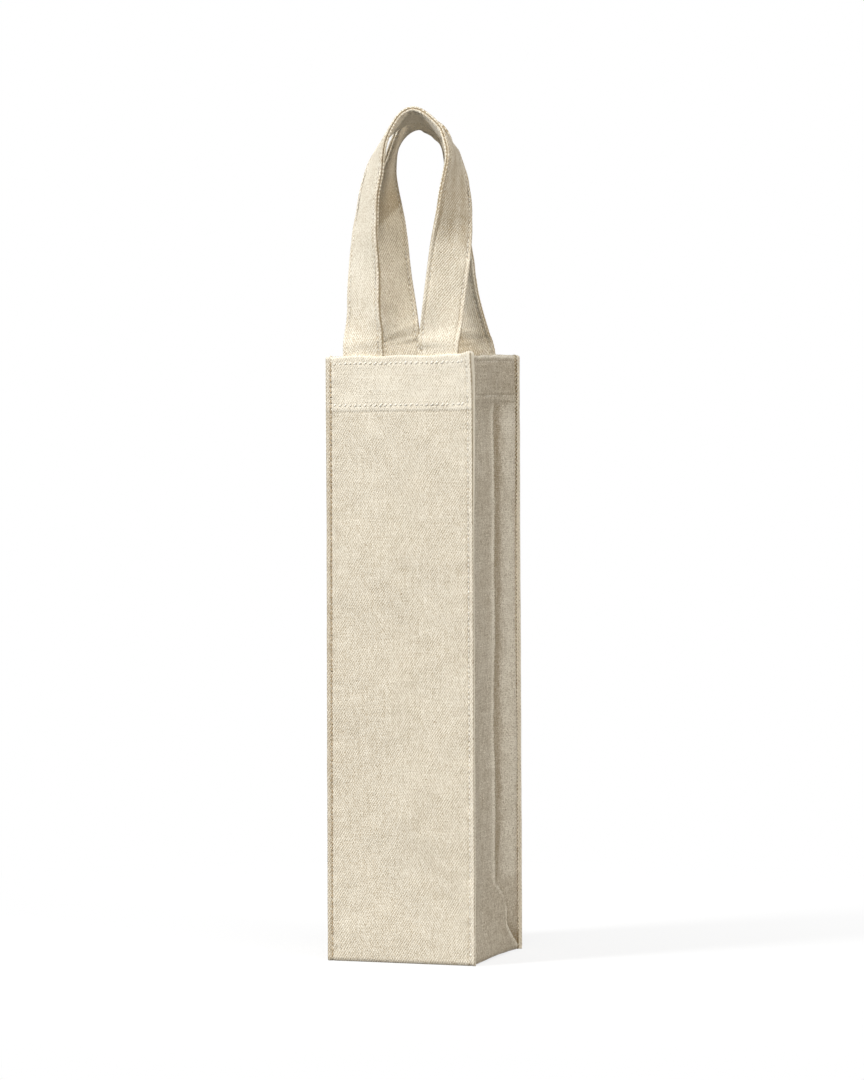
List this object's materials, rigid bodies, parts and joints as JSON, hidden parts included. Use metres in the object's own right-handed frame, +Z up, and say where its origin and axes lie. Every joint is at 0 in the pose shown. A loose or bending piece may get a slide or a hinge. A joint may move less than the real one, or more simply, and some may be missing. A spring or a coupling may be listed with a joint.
{
  "type": "canvas bottle carrier",
  "caption": "Tall square canvas carrier for a bottle, with pleated side gussets, a turned hem and two folded strap handles.",
  "frame": {"origin": "centre of the base, on the surface that the bag stands on", "axes": "+Z up, the front panel faces -Y, +X to the right of the front panel"},
  "size_m": [0.088, 0.0886, 0.4858],
  "materials": {
    "canvas": "unbleached cotton canvas, matt",
    "strap": "folded canvas strap, matt",
    "pale_thread": "cotton sewing thread, matt",
    "seam_thread": "cotton sewing thread, shaded by its needle holes"
  },
  "bodies": {
    "bag": {"front_panel": "canvas", "back_panel": "canvas", "left_gusset": "canvas", "right_gusset": "canvas", "base_panel": "canvas", "front_left_strap_end": "strap", "front_right_strap_end": "strap", "back_left_strap_end": "strap", "back_right_strap_end": "strap", "front_left_seam_thread": "seam_thread", "front_right_seam_thread": "seam_thread", "back_left_seam_thread": "seam_thread", "back_right_seam_thread": "seam_thread", "top_edge_thread": "pale_thread", "hem_thread": "pale_thread"},
    "front_handle": {"front_handle_loop": "strap", "front_handle_thread": "pale_thread"},
    "back_handle": {"back_handle_loop": "strap", "back_handle_thread": "pale_thread"}
  },
  "joints": [
    {"name": "front_handle_fold", "type": "hinge", "parent": "bag", "child": "front_handle", "pos_m": [0, -0.044, 0.344], "axis": [1, 0, 0], "range_deg": [0, 170]},
    {"name": "back_handle_fold", "type": "hinge", "parent": "bag", "child": "back_handle", "pos_m": [0, 0.044, 0.344], "axis": [-1, 0, 0], "range_deg": [0, 170]}
  ]
}
